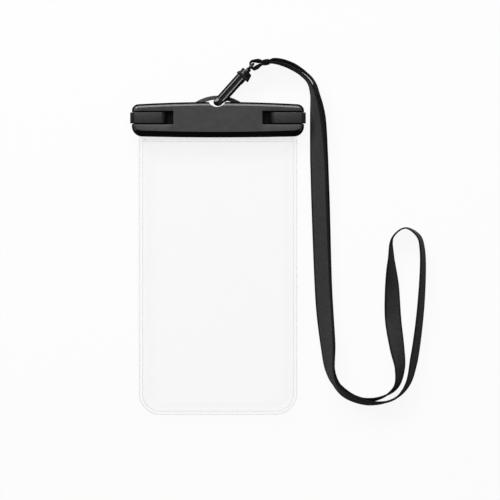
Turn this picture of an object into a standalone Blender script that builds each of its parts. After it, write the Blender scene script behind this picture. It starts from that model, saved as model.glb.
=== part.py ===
# Waterproof phone case: a clear pouch shut by a latched clamp, with a swivel hook and a webbing lanyard.
# Metres, +Z up. The case lies on its back, with its front face up and its clamp towards +Y.
# The origin is below the middle of the case, on the surface that it lies on.

import math

import bmesh
import bpy
from mathutils import Matrix, Vector

# Clearances
seat_gap = 0.0003          # between pieces that touch
pin_clearance = 0.0001     # round a pin, on the radius

# Whole case
case_length = 0.203        # pouch bottom to the top of the eyelet

# Clamp bars, seen from the front
bar_length = 0.1094
bar_height = 0.022         # at the middle
bar_top_bow = 0.0015       # how much lower the top edge is at its ends
bar_foot_bow = 0.0008      # how much higher the lower edge is at its ends
bar_top_corner = 0.004
bar_foot_corner = 0.006
back_bar_thickness = 0.005
front_bar_thickness = 0.0063
front_top_round = 0.0016   # rounding of the front bar's upper front edge
front_foot_round = 0.0034  # rounding of its lower front edge
back_edge_round = 0.0008

# Eyelet on the back bar, and the notches under it
eyelet_rise = 0.0039       # top of the arch above the bar
eyelet_half_span = 0.0135
eyelet_radius = 0.0238     # outside of the arch
eyelet_band = 0.0020       # seen from the front
eyelet_depth = 0.0022      # front to back
eyelet_lift = 0.0042       # underside of the arch above the bar's back
eyelet_root = 0.005        # how far its foot reaches down the bar
notch_radius = 0.0077
notch_depth = 0.0037       # in the front bar
back_notch_depth = 0.0050

# Seal strip
seal_width = 0.0018
seal_thickness = 0.001
seal_height = 0.0034       # centre of the strip above the bar's lower edge
seal_overhang = 0.0006     # past the films at each side

# Pouch
film_thickness = 0.0004
pouch_width = 0.1008
pouch_depth = 0.0106       # outside, where it is full
pouch_corner = 0.0135
pouch_mouth_corner = 0.003
weld_width = 0.0025
flank_width = 0.008        # from the weld to the flat middle
film_grip = 0.0149         # length of film between the bars
mouth_drop = 0.001         # from the bar's lower edge to where the pouch starts to fill

# Latches
latch_width = 0.007
latch_height = 0.0115      # centre line above the bar's lower edge
latch_reach = 0.0208       # hinge pin to lever tip
latch_bed_reach = 0.0248   # hinge pin to the end of the recess
latch_thickness = 0.0026
latch_sink = 0.0002        # lever face below the bar's face
latch_tip_slope = 0.0033   # length of the finger slope at its tip
latch_tip_edge = 0.0007    # thickness that the slope leaves
latch_shoulder = 0.0018
arm_inset = 0.0002         # from the pin to the arm's inner face
barrel_radius = 0.0026
latch_overhang = 0.0011    # barrel past the bar's end
pin_radius = 0.0008
pin_cheek = 0.0024         # length of pin held at each side of the latch

# Hook, in its own frame: X from the nose to the swivel, Z from the gate to the spine
hook_nose = Vector((-0.0013, 0.0953, 0.00615))
hook_heading = math.radians(48.2)
hook_rise = math.radians(4)
hook_roll = math.radians(-3)
hook_width = 0.0053
hook_depth = 0.0114
spine_thickness = 0.0031
tip_thickness = 0.0022
tip_width = 0.0046
nose_thickness = 0.0024
tip_length = 0.0097
nose_round = 0.0036
throat_round = 0.0012
hook_edge = 0.0007
nose_corner = 0.0020       # rounding of the nose, seen from above
hook_skim = 0.00005        # by which the rounding's own outline clears the hook's sides
neck_start = 0.0206
neck_end = 0.0256
spine_groove = 0.0019
groove_depth = 0.0007
groove_start = 0.0035
collar_start = 0.025
collar_length = 0.0046
collar_radius = 0.0042
collar_mouth_radius = 0.0034
collar_flange = 0.0011

# Gate, its pin and its spring
gate_gap = 0.0004
gate_thickness = 0.0022
gate_root_width = 0.0024
gate_pivot_x = 0.0234
gate_pivot_z = -0.0038
gate_root_radius = 0.0014
gate_pin_radius = 0.0005
gate_opening = 20          # degrees
gate_bar_end = 0.0199
tab_end = 0.0287
tab_drop = 0.0017          # thumb tab below the gate's outer face
spring_place = 0.0219
spring_radius = 0.0008
spring_wire = 0.00014
spring_turns = 5
spring_height = 0.0030
spring_pocket = 0.0012

# Swivel eye
stem_radius = 0.0013
head_radius = 0.0021
head_thickness = 0.0011
stem_end = 0.0316
eye_bar_x = 0.0355         # bar that the strap goes round
eye_side_x = 0.0315
eye_half_height = 0.0063
eye_wire = 0.0008
eye_corner = 0.0012

# Strap and clip
strap_width = 0.010
strap_thickness = 0.001
strap_bend = 0.0018        # radius of its middle round the eye
clip_centre = Vector((0.0305, 0.1229, 0.0084))
clip_heading = math.radians(10)
clip_length = 0.004
clip_wall = 0.0005
layer_gap = 0.0003
lean_step = math.radians(12)   # most that the strap twists from one point to the next
turn_step = math.radians(22)   # most that it bends

# Middle line of the strap from the clip round to the clip: x, y, z in millimetres, then its lean in
# degrees, where 0 stands on edge and 90 lies flat. It leaves above and comes back below.
strap_route = (
    (35.0, 122.75, 8.3, -3), (41.2, 121.3, 8.2, -9), (47.5, 118.7, 8.0, -9), (53.2, 115.2, 7.8, -9),
    (58.0, 110.1, 7.6, -9), (60.6, 102.1, 7.7, -18), (62.3, 89.0, 7.0, -41), (64.0, 60.0, 5.6, -75),
    (67.4, -28.3, 4.9, -86), (69.9, -57.0, 6.8, -55), (71.6, -73.5, 8.4, -28), (74.4, -81.9, 8.6, -12),
    (80.3, -88.3, 8.5, -18), (87.7, -91.8, 8.4, -20), (96.2, -93.9, 7.8, -15),
    (106.8, -93.3, 6.0, -5), (114.5, -89.8, 5.2, -5), (120.8, -81.7, 5.1, -10), (124.7, -66.5, 4.9, -22),
    (129.4, -28.3, 4.9, -18), (130.0, 4.0, 5.05, -13), (127.6, 12.4, 5.1, -8), (119.1, 17.5, 5.1, 0),
    (111.2, 11.5, 5.1, 3), (110.2, -2.0, 4.8, 22), (110.8, -20.0, 3.1, 60), (111.6, -41.0, 0.8, 90),
    (114.0, -58.8, 2.6, 65), (115.7, -72.0, 4.3, 38), (113.6, -83.0, 5.1, 12), (107.5, -88.7, 5.1, 4),
    (98.0, -91.9, 5.05, 12), (88.2, -91.2, 4.95, 20), (76.9, -82.5, 5.05, 10), (72.6, -73.5, 4.7, 27),
    (71.0, -57.0, 3.3, 55), (67.9, -28.3, 0.9, 86), (65.1, 60.0, 1.8, 76), (64.3, 89.0, 3.8, 46),
    (63.0, 102.1, 5.05, 18), (61.0, 110.4, 5.5, 4), (56.3, 115.8, 5.6, 3), (48.5, 121.0, 6.1, 9),
    (41.0, 124.0, 7.1, 10), (35.0, 124.4, 8.2, 3),
)

# The slack side of the loop round the eye, back towards the clip: x, y in millimetres, then the lean
loop_return = ((20.9, 120.2, 0), (21.7, 119.2, 4), (22.9, 118.9, 7), (24.9, 119.8, 8), (26.9, 121.2, 3))

round_steps = 32           # sides of a turned piece
corner_steps = 6           # straight pieces in a rounded corner

# Places worked out from the sizes above
bar_top = case_length / 2 - eyelet_rise
bar_foot = bar_top - bar_height
bar_half = bar_length / 2
back_film_z = back_bar_thickness + seat_gap
front_film_z = back_film_z + film_thickness + seat_gap
front_bar_z = front_film_z + film_thickness + seat_gap
front_face_z = front_bar_z + front_bar_thickness
latch_y = bar_foot + latch_height
pin_x = bar_half + latch_overhang - barrel_radius
pin_z = barrel_radius + seat_gap
slot_half = latch_width / 2 + seat_gap
eyelet_centre_y = case_length / 2 - eyelet_radius

parts = None
cutters = None


def new_collections():
    """Empties the scene and makes one collection for the parts and one for the cutters."""
    global parts, cutters
    for old in list(bpy.data.objects):
        bpy.data.objects.remove(old, do_unlink=True)
    parts = bpy.data.collections.new("waterproof_case")
    cutters = bpy.data.collections.new("cutters")
    for group in (parts, cutters):
        bpy.context.scene.collection.children.link(group)


def material(name, colour, roughness, metallic=0.0, alpha=1.0):
    made = bpy.data.materials.new(name)
    made.use_nodes = True
    shader = made.node_tree.nodes["Principled BSDF"]
    shader.inputs["Base Color"].default_value = (*colour, 1.0)
    shader.inputs["Roughness"].default_value = roughness
    shader.inputs["Metallic"].default_value = metallic
    shader.inputs["Alpha"].default_value = alpha
    return made


def add(name, data, finish=None, parent=None):
    """An object of this data. One with a finish is a part, and one without is a cutter."""
    made = bpy.data.objects.new(name, data)
    made.parent = parent
    if finish:
        made.data.materials.clear()
        made.data.materials.append(finish)
        parts.objects.link(made)
    else:
        made.hide_render = True
        made.display_type = "WIRE"
        cutters.objects.link(made)
    return made


def box(name, low, high, finish=None, parent=None):
    shape = bmesh.new()
    size = [b - a for a, b in zip(low, high)]
    middle = [(a + b) / 2 for a, b in zip(low, high)]
    bmesh.ops.create_cube(shape, size=1, matrix=Matrix.LocRotScale(middle, None, size))
    mesh = bpy.data.meshes.new(name)
    shape.to_mesh(mesh)
    shape.free()
    return add(name, mesh, finish, parent)


def rod(name, start, end, radius, finish=None, parent=None):
    """A cylinder from one point to another."""
    start, end = Vector(start), Vector(end)
    along = end - start
    place = Matrix.Translation((start + end) / 2) @ along.to_track_quat("Z", "Y").to_matrix().to_4x4()
    shape = bmesh.new()
    bmesh.ops.create_cone(shape, cap_ends=True, segments=round_steps, radius1=radius, radius2=radius,
                          depth=along.length, matrix=place)
    mesh = bpy.data.meshes.new(name)
    shape.to_mesh(mesh)
    shape.free()
    return add(name, mesh, finish, parent)


def arc(x, y, radius, start, end, steps=corner_steps):
    """Points on a circle from one angle to another, in degrees."""
    angles = [math.radians(start + (end - start) * i / steps) for i in range(steps + 1)]
    return [(x + radius * math.cos(a), y + radius * math.sin(a)) for a in angles]


def plate(name, outline, thickness, finish=None, parent=None, upright=False):
    """A flat outline made thick. It lies in XY about z = 0, or upright in XZ about y = 0."""
    curve = bpy.data.curves.new(name, "CURVE")
    curve.dimensions = "2D"
    curve.fill_mode = "BOTH"
    curve.extrude = thickness / 2
    spline = curve.splines.new("POLY")
    spline.points.add(len(outline) - 1)
    for point, (x, y) in zip(spline.points, outline):
        point.co = (x, y, 0, 1)
    spline.use_cyclic_u = True
    drawn = bpy.data.objects.new(name + "_outline", curve)
    cutters.objects.link(drawn)
    bpy.context.view_layer.update()
    mesh = bpy.data.meshes.new_from_object(drawn.evaluated_get(bpy.context.evaluated_depsgraph_get()))
    bpy.data.objects.remove(drawn)
    shape = bmesh.new()
    shape.from_mesh(mesh)
    bmesh.ops.remove_doubles(shape, verts=shape.verts, dist=1e-7)
    bmesh.ops.dissolve_limit(shape, angle_limit=math.radians(0.5), verts=shape.verts, edges=shape.edges)
    if upright:
        bmesh.ops.rotate(shape, verts=shape.verts, matrix=Matrix.Rotation(math.pi / 2, 3, "X"))
    bmesh.ops.recalc_face_normals(shape, faces=shape.faces)
    shape.to_mesh(mesh)
    shape.free()
    mesh.name = name
    return add(name, mesh, finish, parent)


def turned(name, profile, finish=None, parent=None):
    """A profile of (distance along, radius) pairs turned about X, from its far end to its near one."""
    mesh = bpy.data.meshes.new(name)
    mesh.from_pydata([(r, 0, x) for x, r in profile], [(i, i + 1) for i in range(len(profile) - 1)], [])
    made = add(name, mesh, finish, parent)
    made.rotation_euler = (0, math.pi / 2, 0)
    screw = made.modifiers.new("turn", "SCREW")
    screw.axis = "Z"
    screw.steps = screw.render_steps = round_steps
    screw.use_merge_vertices = True
    screw.merge_threshold = 0.00001
    screw.use_smooth_shade = True
    return made


def boolean(target, other, operation="DIFFERENCE"):
    step = target.modifiers.new(other.name, "BOOLEAN")
    step.operation = operation
    step.solver = "EXACT"
    step.object = other


def soften(target, width, segments=2, angle=50):
    step = target.modifiers.new("soft_edges", "BEVEL")
    step.width = width
    step.segments = segments
    step.limit_method = "ANGLE"
    step.angle_limit = math.radians(angle)
    step.harden_normals = False


def smooth(target, angle=35):
    """Shades a mesh smooth, apart from its sharp edges."""
    if len(target.data.polygons):
        target.data.shade_smooth()
        target.data.set_sharp_from_angle(angle=math.radians(angle))


def bar_outline(extra_top=0.0):
    """The bowed outline of a clamp bar, from its lower left corner, anticlockwise."""
    def foot(x):
        return bar_foot + bar_foot_bow * (x / bar_half) ** 2

    def top(x):
        return bar_top + extra_top - bar_top_bow * (x / bar_half) ** 2

    low_x = bar_half - bar_foot_corner
    high_x = bar_half - bar_top_corner
    steps = 12
    points = [(low_x * (2 * i / steps - 1), foot(low_x * (2 * i / steps - 1))) for i in range(1, steps)]
    points += arc(low_x, foot(low_x) + bar_foot_corner, bar_foot_corner, -90, 0)
    points += arc(high_x, top(high_x) - bar_top_corner, bar_top_corner, 0, 90)
    points += [(high_x * (1 - 2 * i / steps), top(high_x * (1 - 2 * i / steps))) for i in range(1, steps)]
    points += arc(-high_x, top(high_x) - bar_top_corner, bar_top_corner, 90, 180)
    points += arc(-low_x, foot(low_x) + bar_foot_corner, bar_foot_corner, 180, 270)
    return points


def round_rim(target, level, low_width, high_width, segments):
    """Rounds the rim at one height of a plate, by one width at its lower edge and another at its top."""
    weights = target.data.attributes.new("bevel_weight_edge", "FLOAT", "EDGE")
    largest = max(low_width, high_width)
    for edge in target.data.edges:
        ends = [target.data.vertices[v].co for v in edge.vertices]
        if all(abs(end.z - level) < 1e-6 for end in ends):
            share = ((ends[0].y + ends[1].y) / 2 - bar_foot) / bar_height
            share = min(max(share, 0.0), 1.0)
            weights.data[edge.index].value = (low_width + (high_width - low_width) * share) / largest
    step = target.modifiers.new("rim", "BEVEL")
    step.width = largest
    step.segments = segments
    step.limit_method = "WEIGHT"


def back_bar(finish):
    bar = plate("back_bar", bar_outline(), back_bar_thickness, finish)
    bar.location.z = back_bar_thickness / 2
    round_rim(bar, -back_bar_thickness / 2, back_edge_round, back_edge_round, 2)
    half_angle = math.degrees(math.asin(eyelet_half_span / eyelet_radius))
    foot_y = bar_top - eyelet_root
    band = arc(0, eyelet_centre_y, eyelet_radius, 90 - half_angle, 90 + half_angle, 18)
    band += [(-eyelet_half_span, foot_y), (eyelet_half_span, foot_y)]
    arch = plate("eyelet_arch", band, eyelet_depth)
    arch.location.z = eyelet_lift + eyelet_depth / 2
    boolean(bar, arch, "UNION")
    inner = eyelet_radius - eyelet_band
    hole_half = math.sqrt(inner ** 2 - (bar_top - eyelet_centre_y) ** 2)
    hole_angle = math.degrees(math.asin(hole_half / inner))
    hole = arc(0, eyelet_centre_y, inner, 90 - hole_angle, 90 + hole_angle, 14)
    notch_half = math.sqrt(notch_radius ** 2 - (notch_radius - notch_depth) ** 2) + eyelet_band / 3
    sag = back_notch_depth - eyelet_band / 4
    bottom_radius = (notch_half ** 2 + sag ** 2) / (2 * sag)
    swing = math.degrees(math.asin(notch_half / bottom_radius))
    hole += arc(0, bar_top - back_notch_depth + bottom_radius, bottom_radius, 270 - swing, 270 + swing, 10)
    eyelet_hole = plate("eyelet_hole", hole, 4 * back_bar_thickness)
    boolean(bar, eyelet_hole)
    for side in (-1, 1):
        inner_x = pin_x - barrel_radius - seat_gap
        slot = box(f"back_slot_{side}", *spans(side, inner_x, bar_length))
        boolean(bar, slot)
        boolean(bar, rod(f"pin_bore_{side}", *pin_ends(side, seat_gap), pin_radius + pin_clearance))
    half = pouch_width / 2 + seal_overhang + seat_gap
    seal_y = bar_foot + seal_height
    low = (-half, seal_y - seal_width / 2 - seat_gap, back_bar_thickness - seal_thickness - seat_gap)
    high = (half, seal_y + seal_width / 2 + seat_gap, back_bar_thickness + seal_thickness)
    boolean(bar, box("seal_groove", low, high))
    smooth(bar)
    return bar


def spans(side, near_x, far_x):
    """Two corners of a box over the latch's width, between two distances from the middle at one side."""
    xs = sorted((side * near_x, side * far_x))
    return (xs[0], latch_y - slot_half, -front_face_z), (xs[1], latch_y + slot_half, 2 * front_face_z)


def pin_ends(side, more=0.0):
    reach = slot_half + pin_cheek + more
    return (side * pin_x, latch_y - reach, pin_z), (side * pin_x, latch_y + reach, pin_z)


def front_bar(finish):
    bar = plate("front_bar", bar_outline(), front_bar_thickness, finish)
    bar.location.z = front_bar_z + front_bar_thickness / 2
    round_rim(bar, front_bar_thickness / 2, front_foot_round, front_top_round, 5)
    notch_y = bar_top - notch_depth + notch_radius
    boolean(bar, rod("notch", (0, notch_y, 0), (0, notch_y, 2 * front_face_z), notch_radius))
    bed_z = front_face_z - latch_sink - latch_thickness - seat_gap
    arm_x = pin_x - arm_inset - seat_gap
    high_z = front_face_z + front_bar_thickness
    for side in (-1, 1):
        step = [(pin_x - latch_bed_reach, bed_z), (arm_x, bed_z), (arm_x, 0), (bar_length, 0),
                (bar_length, high_z), (pin_x - latch_bed_reach, high_z)]
        bed = plate(f"latch_bed_{side}", [(side * x, z) for x, z in step], 2 * slot_half, upright=True)
        bed.location.y = latch_y
        boolean(bar, bed)
    smooth(bar)
    return bar


def seal_gasket(finish):
    half = pouch_width / 2 + seal_overhang
    seal_y = bar_foot + seal_height
    low = (-half, seal_y - seal_width / 2, back_bar_thickness - seal_thickness)
    high = (half, seal_y + seal_width / 2, back_bar_thickness)
    strip = box("seal_gasket", low, high, finish)
    soften(strip, seal_thickness / 5, 1)
    return strip


def latch(side, name, finish):
    """A lever with its barrel round the pin. Its outline is about the pin, with the lever towards -X."""
    top = front_face_z - latch_sink - pin_z
    under = top - latch_thickness
    inner_x = -arm_inset
    outline = [(-latch_reach, under + latch_tip_edge), (-latch_reach + latch_tip_slope, top)]
    outline += arc(barrel_radius - latch_shoulder, top - latch_shoulder, latch_shoulder, 90, 0)
    outline += arc(0, 0, barrel_radius, 0, -266, 22)
    outline += arc(inner_x - seat_gap, under - seat_gap, seat_gap, 0, 90, 3)
    outline += [(-latch_reach + latch_tip_edge, under)]
    if side < 0:
        outline = [(-x, z) for x, z in reversed(outline)]
    lever = plate(name, outline, latch_width, finish, upright=True)
    lever.location = (side * pin_x, latch_y, pin_z)
    soften(lever, 0.0003, 2)
    bore = rod(name + "_bore", *pin_ends(side, latch_width), pin_radius + pin_clearance)
    boolean(lever, bore)
    smooth(lever)
    return lever


def film_ring(inset, level, full):
    """A rounded rectangle of points. A full ring takes in the welds and the film between the bars."""
    if full:
        half, low, high = pouch_width / 2, -case_length / 2, bar_foot + film_grip
        low_corner, high_corner = pouch_corner, weld_width / 4
    else:
        half = pouch_width / 2 - weld_width - inset
        low = -case_length / 2 + weld_width + inset
        high = bar_foot - mouth_drop - inset
        low_corner, high_corner = pouch_corner - weld_width - inset, pouch_mouth_corner
    low_corner = max(low_corner, weld_width / 4)
    sides = 6
    ring = arc(half - low_corner, low + low_corner, low_corner, -90, 0)
    ring += between(ring[-1], (half, high - high_corner), sides)
    ring += arc(half - high_corner, high - high_corner, high_corner, 0, 90)
    ring += between(ring[-1], (-half + high_corner, high), sides)
    ring += arc(-half + high_corner, high - high_corner, high_corner, 90, 180)
    ring += between(ring[-1], (-half, low + low_corner), sides)
    ring += arc(-half + low_corner, low + low_corner, low_corner, 180, 270)
    ring += between(ring[-1], ring[0], sides)
    return [(x, y, level) for x, y in ring]


def between(start, end, count):
    return [tuple(a + (b - a) * i / count for a, b in zip(start, end)) for i in range(1, count)]


def pouch_film(name, weld_level, full_level, finish):
    """A sheet lofted from its welded border up to its flat middle, with its thickness inwards."""
    flank_steps = 6
    rings = [film_ring(0, weld_level, True), film_ring(0, weld_level, False)]
    for step in range(1, flank_steps + 1):
        share = step / flank_steps
        level = weld_level + (full_level - weld_level) * math.sin(share * math.pi / 2) ** 2
        rings.append(film_ring(flank_width * share, level, False))
    shape = bmesh.new()
    loops = [[shape.verts.new(point) for point in ring] for ring in rings]
    count = len(rings[0])
    for outer, inner in zip(loops, loops[1:]):
        for i in range(count):
            shape.faces.new((outer[i], outer[(i + 1) % count], inner[(i + 1) % count], inner[i]))
    shape.faces.new(loops[-1])
    if full_level < weld_level:
        bmesh.ops.reverse_faces(shape, faces=shape.faces)
    mesh = bpy.data.meshes.new(name)
    shape.to_mesh(mesh)
    shape.free()
    sheet = add(name, mesh, finish)
    wall = sheet.modifiers.new("thickness", "SOLIDIFY")
    wall.thickness = film_thickness
    wall.offset = -1
    smooth(sheet, 60)
    return sheet


def swivel_frame(roll):
    """A place on the swivel's axis at the hook's nose, with X towards the swivel."""
    turn = Matrix.Rotation(hook_heading, 4, "Z") @ Matrix.Rotation(-hook_rise, 4, "Y")
    return Matrix.Translation(hook_nose) @ turn @ Matrix.Rotation(roll, 4, "X")


def frame(name, roll):
    """An empty on the swivel's axis, to hold the pieces that turn with it."""
    made = bpy.data.objects.new(name, None)
    made.empty_display_size = tip_length
    made.matrix_world = swivel_frame(roll)
    parts.objects.link(made)
    return made


def hook_outline():
    """The J of the hook with its neck, seen from the side."""
    half = hook_depth / 2
    inner_top = half - spine_thickness
    inner_low = -half + tip_thickness
    points = [(neck_end, half)]
    points += arc(nose_round, half - nose_round, nose_round, 90, 180)
    points += arc(nose_round, -half + nose_round, nose_round, 180, 270)
    points += [(tip_length, -half), (tip_length, inner_low)]
    points += arc(nose_thickness + throat_round, inner_low + throat_round, throat_round, 270, 180, 4)
    points += arc(nose_thickness + throat_round, inner_top - throat_round, throat_round, 180, 90, 4)
    points += [(neck_start - throat_round, inner_top), (neck_start, inner_top - throat_round)]
    neck_low = gate_pivot_z + gate_root_radius + gate_gap
    points += [(neck_start, neck_low), (gate_bar_end + gate_root_radius, neck_low)]
    points += [(gate_bar_end + gate_root_radius, -half + gate_gap), (neck_end, -half + gate_gap)]
    return points


def hook_body(holder, finish):
    body = plate("hook_body", hook_outline(), hook_width, finish, holder, upright=True)
    soften(body, hook_edge, 2)
    half = hook_depth / 2
    wide = hook_width / 2 + hook_skim
    ends = arc(nose_corner, wide - nose_corner, nose_corner, 90, 180)
    ends += arc(nose_corner, -wide + nose_corner, nose_corner, 180, 270)
    plan = plate("hook_plan", [(neck_end, -wide), (neck_end, wide), *ends], 2 * hook_depth, None, holder)
    boolean(body, plan, "INTERSECT")
    low = (groove_start, -spine_groove / 2, half - groove_depth)
    high = (neck_end, spine_groove / 2, half + spine_thickness)
    boolean(body, box("spine_groove", low, high, None, holder))
    end = collar_start + collar_length
    profile = [(end, 0), (end, collar_mouth_radius), (collar_start + collar_flange, collar_radius),
               (collar_start, collar_radius), (collar_start - collar_flange, 0)]
    boolean(body, turned("collar", profile, None, holder), "UNION")
    head_end = head_place() + head_thickness + seat_gap
    head_start = head_place() - seat_gap
    bore = stem_radius + seat_gap
    room = head_radius + seat_gap
    profile = [(end + collar_length, 0), (end + collar_length, bore), (head_end, bore), (head_end, room),
               (head_start, room), (head_start, 0)]
    boolean(body, turned("swivel_bore", profile, None, holder))
    slot_half_width = gate_root_width / 2 + gate_gap
    low = (neck_start - tip_length, -slot_half_width, -hook_depth)
    high = (tab_end + tip_length, slot_half_width, gate_pivot_z + gate_root_radius + gate_gap)
    boolean(body, box("gate_slot", low, high, None, holder))
    pocket_top = spring_foot() + spring_height + seat_gap
    pocket = rod("spring_pocket", (spring_place, 0, -hook_depth / 2), (spring_place, 0, pocket_top),
                 spring_pocket, None, holder)
    boolean(body, pocket)
    bore = rod("gate_bore", *gate_pin_ends(hook_width), gate_pin_radius + pin_clearance, None, holder)
    boolean(body, bore)
    smooth(body)
    return body


def head_place():
    return collar_start + collar_flange


def spring_foot():
    return gate_pivot_z + gate_root_radius + spring_wire + seat_gap


def gate_pin_ends(reach):
    return (gate_pivot_x, -reach, gate_pivot_z), (gate_pivot_x, reach, gate_pivot_z)


def hook_gate(holder, finish):
    """The gate about its pivot: a narrow root in the neck's slot, a wide bar and a thumb tab."""
    outer = -hook_depth / 2 - gate_pivot_z
    inner = outer + gate_thickness
    start = tip_length + gate_gap - gate_pivot_x
    bar_end = gate_bar_end - gate_pivot_x
    tab_x = tab_end - gate_pivot_x
    outline = [(start, outer), (gate_root_radius, outer), (tab_x - tab_drop, outer - tab_drop / 2),
               (tab_x - tab_drop / 2, outer - tab_drop), (tab_x, outer - tab_drop), (tab_x, outer - tab_drop / 3)]
    outline += [(gate_root_radius + tab_drop, outer + gate_thickness / 2)]
    outline += arc(0, 0, gate_root_radius, 0, 90 + gate_opening, 8)
    outline += [(bar_end, inner), (start, inner)]
    gate = plate("hook_gate", outline, gate_root_width, finish, holder, upright=True)
    gate.location = (gate_pivot_x, 0, gate_pivot_z)
    wide = box("gate_bar", (start, -tip_width / 2, outer), (bar_end, tip_width / 2, inner), None, gate)
    boolean(gate, wide, "UNION")
    tab = box("thumb_tab", (tab_x - tab_drop, -tip_width / 2, outer - tab_drop),
              (tab_x, tip_width / 2, outer - tab_drop / 3), None, gate)
    boolean(gate, tab, "UNION")
    radius = gate_pin_radius + pin_clearance
    bore = rod("gate_eye", (0, -hook_width, 0), (0, hook_width, 0), radius, None, gate)
    boolean(gate, bore)
    smooth(gate)
    return gate


def gate_spring(holder, finish):
    curve = bpy.data.curves.new("gate_spring", "CURVE")
    curve.dimensions = "3D"
    curve.bevel_depth = spring_wire
    curve.bevel_resolution = 1
    curve.use_fill_caps = True
    steps = 10 * spring_turns
    spline = curve.splines.new("POLY")
    spline.points.add(steps)
    for i, point in enumerate(spline.points):
        angle = 2 * math.pi * i / 10
        across = spring_place + spring_radius * math.cos(angle)
        height = spring_foot() + (spring_height - 2 * spring_wire) * i / steps
        point.co = (across, spring_radius * math.sin(angle), height, 1)
    return add("gate_spring", curve, finish, holder)


def swivel_eye(holder, finish):
    curve = bpy.data.curves.new("eye_loop", "CURVE")
    curve.dimensions = "3D"
    curve.bevel_depth = eye_wire
    curve.bevel_resolution = 3
    near, far, high = eye_side_x, eye_bar_x, eye_half_height
    loop = arc(far - eye_corner, high - eye_corner, eye_corner, 0, 90, 4)
    loop += arc(near + eye_corner, high - eye_corner, eye_corner, 90, 180, 4)
    loop += arc(near + eye_corner, -high + eye_corner, eye_corner, 180, 270, 4)
    loop += arc(far - eye_corner, -high + eye_corner, eye_corner, 270, 360, 4)
    spline = curve.splines.new("POLY")
    spline.points.add(len(loop) - 1)
    for point, (x, z) in zip(spline.points, loop):
        point.co = (x, 0, z, 1)
    spline.use_cyclic_u = True
    drawn = bpy.data.objects.new("eye_loop_curve", curve)
    cutters.objects.link(drawn)
    bpy.context.view_layer.update()
    mesh = bpy.data.meshes.new_from_object(drawn.evaluated_get(bpy.context.evaluated_depsgraph_get()))
    bpy.data.objects.remove(drawn)
    eye = add("swivel_eye", mesh, finish, holder)
    start = head_place()
    profile = [(stem_end, 0), (stem_end, stem_radius), (start + head_thickness, stem_radius),
               (start + head_thickness, head_radius), (start, head_radius), (start, 0)]
    boolean(eye, turned("eye_stem", profile, None, holder), "UNION")
    smooth(eye, 50)
    return eye


def clip_frame():
    return Matrix.Translation(clip_centre) @ Matrix.Rotation(clip_heading, 4, "Z")


def strap_clip(finish):
    """A flat tube crimped round the two layers of strap."""
    inner_y = strap_thickness + layer_gap / 2 + seat_gap
    inner_z = strap_width / 2 + seat_gap
    outer_y, outer_z = inner_y + clip_wall, inner_z + clip_wall
    half = clip_length / 2
    clip = box("strap_clip", (-half, -outer_y, -outer_z), (half, outer_y, outer_z), finish)
    clip.matrix_world = clip_frame()
    soften(clip, clip_wall / 2, 2)
    room = box("clip_room", (-clip_length, -inner_y, -inner_z), (clip_length, inner_y, inner_z))
    room.matrix_world = clip_frame()
    boolean(clip, room)
    return clip


def smooth_route(points):
    """Points on a Catmull-Rom curve through these points, closest together where it twists and bends."""
    made = []
    padded = [points[0] * 2 - points[1], *points, points[-1] * 2 - points[-2]]
    for a, b, c, d in zip(padded, padded[1:], padded[2:], padded[3:]):
        knots = [0.0]
        for p, q in ((a, b), (b, c), (c, d)):
            knots.append(knots[-1] + max((q - p).xyz.length, 1e-6) ** 0.5)
        turn = (c - a).xyz.angle((d - b).xyz, 0.0)
        steps = max(1, math.ceil(abs(c.w - b.w) / lean_step), math.ceil(turn / turn_step))
        for i in range(steps):
            share = i / steps
            point = on_span((a, b, c, d), knots, knots[1] + (knots[2] - knots[1]) * share)
            point.w = b.w + (c.w - b.w) * share
            point.z = max(point.z, math.cos(point.w) * strap_width / 2 + strap_thickness / 2)
            made.append(point)
    made.append(points[-1])
    return made


def on_span(ends, knots, t):
    row = list(ends)
    for width in (1, 2, 3):
        # The last round mixes over the middle span alone.
        reach = 1 if width == 3 else width
        base = 1 if width == 3 else 0
        spans = [(knots[i + base], knots[i + base + reach]) for i in range(len(row) - 1)]
        row = [a + (b - a) * ((t - low) / (high - low)) for a, b, (low, high) in zip(row, row[1:], spans)]
    return row[0]


def strap_points():
    """The strap's middle line as (x, y, z, lean) in metres and radians: clip, both strands, eye, clip."""
    offset = (strap_thickness + layer_gap) / 2
    place = clip_frame()

    def in_clip(along, across):
        return Vector((*(place @ Vector((along, across, 0))), 0.0))

    route = [Vector((x / 1000, y / 1000, z / 1000, math.radians(lean))) for x, y, z, lean in strap_route]
    start = [in_clip(layer_gap, -offset), in_clip(clip_length / 2, -offset)]
    finish = [in_clip(clip_length / 2, offset), in_clip(-clip_length / 2, offset)]
    line = smooth_route(start + route + finish)
    eye = swivel_frame(0.0) @ Vector((eye_bar_x, 0, 0))
    heading = math.degrees(clip_heading)
    bend = arc(eye.x, eye.y, strap_bend, 80 + heading, 220 + heading, 8)
    line += [Vector((x, y, clip_centre.z, 0)) for x, y in bend]
    line += [Vector((x / 1000, y / 1000, clip_centre.z, math.radians(lean))) for x, y, lean in loop_return]
    line += [in_clip(-clip_length / 2, -offset), in_clip(-layer_gap, -offset)]
    return line


def lanyard_strap(finish):
    curve = bpy.data.curves.new("lanyard_strap", "CURVE")
    curve.dimensions = "3D"
    curve.twist_mode = "Z_UP"
    curve.bevel_depth = strap_thickness / 2
    curve.extrude = strap_width / 2 - strap_thickness / 2
    curve.bevel_resolution = 1
    curve.use_fill_caps = True
    line = strap_points()
    spline = curve.splines.new("POLY")
    spline.points.add(len(line) - 1)
    for point, (x, y, z, lean) in zip(spline.points, line):
        point.co = (x, y, z, 1)
        point.tilt = lean
    return add("lanyard_strap", curve, finish)


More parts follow.
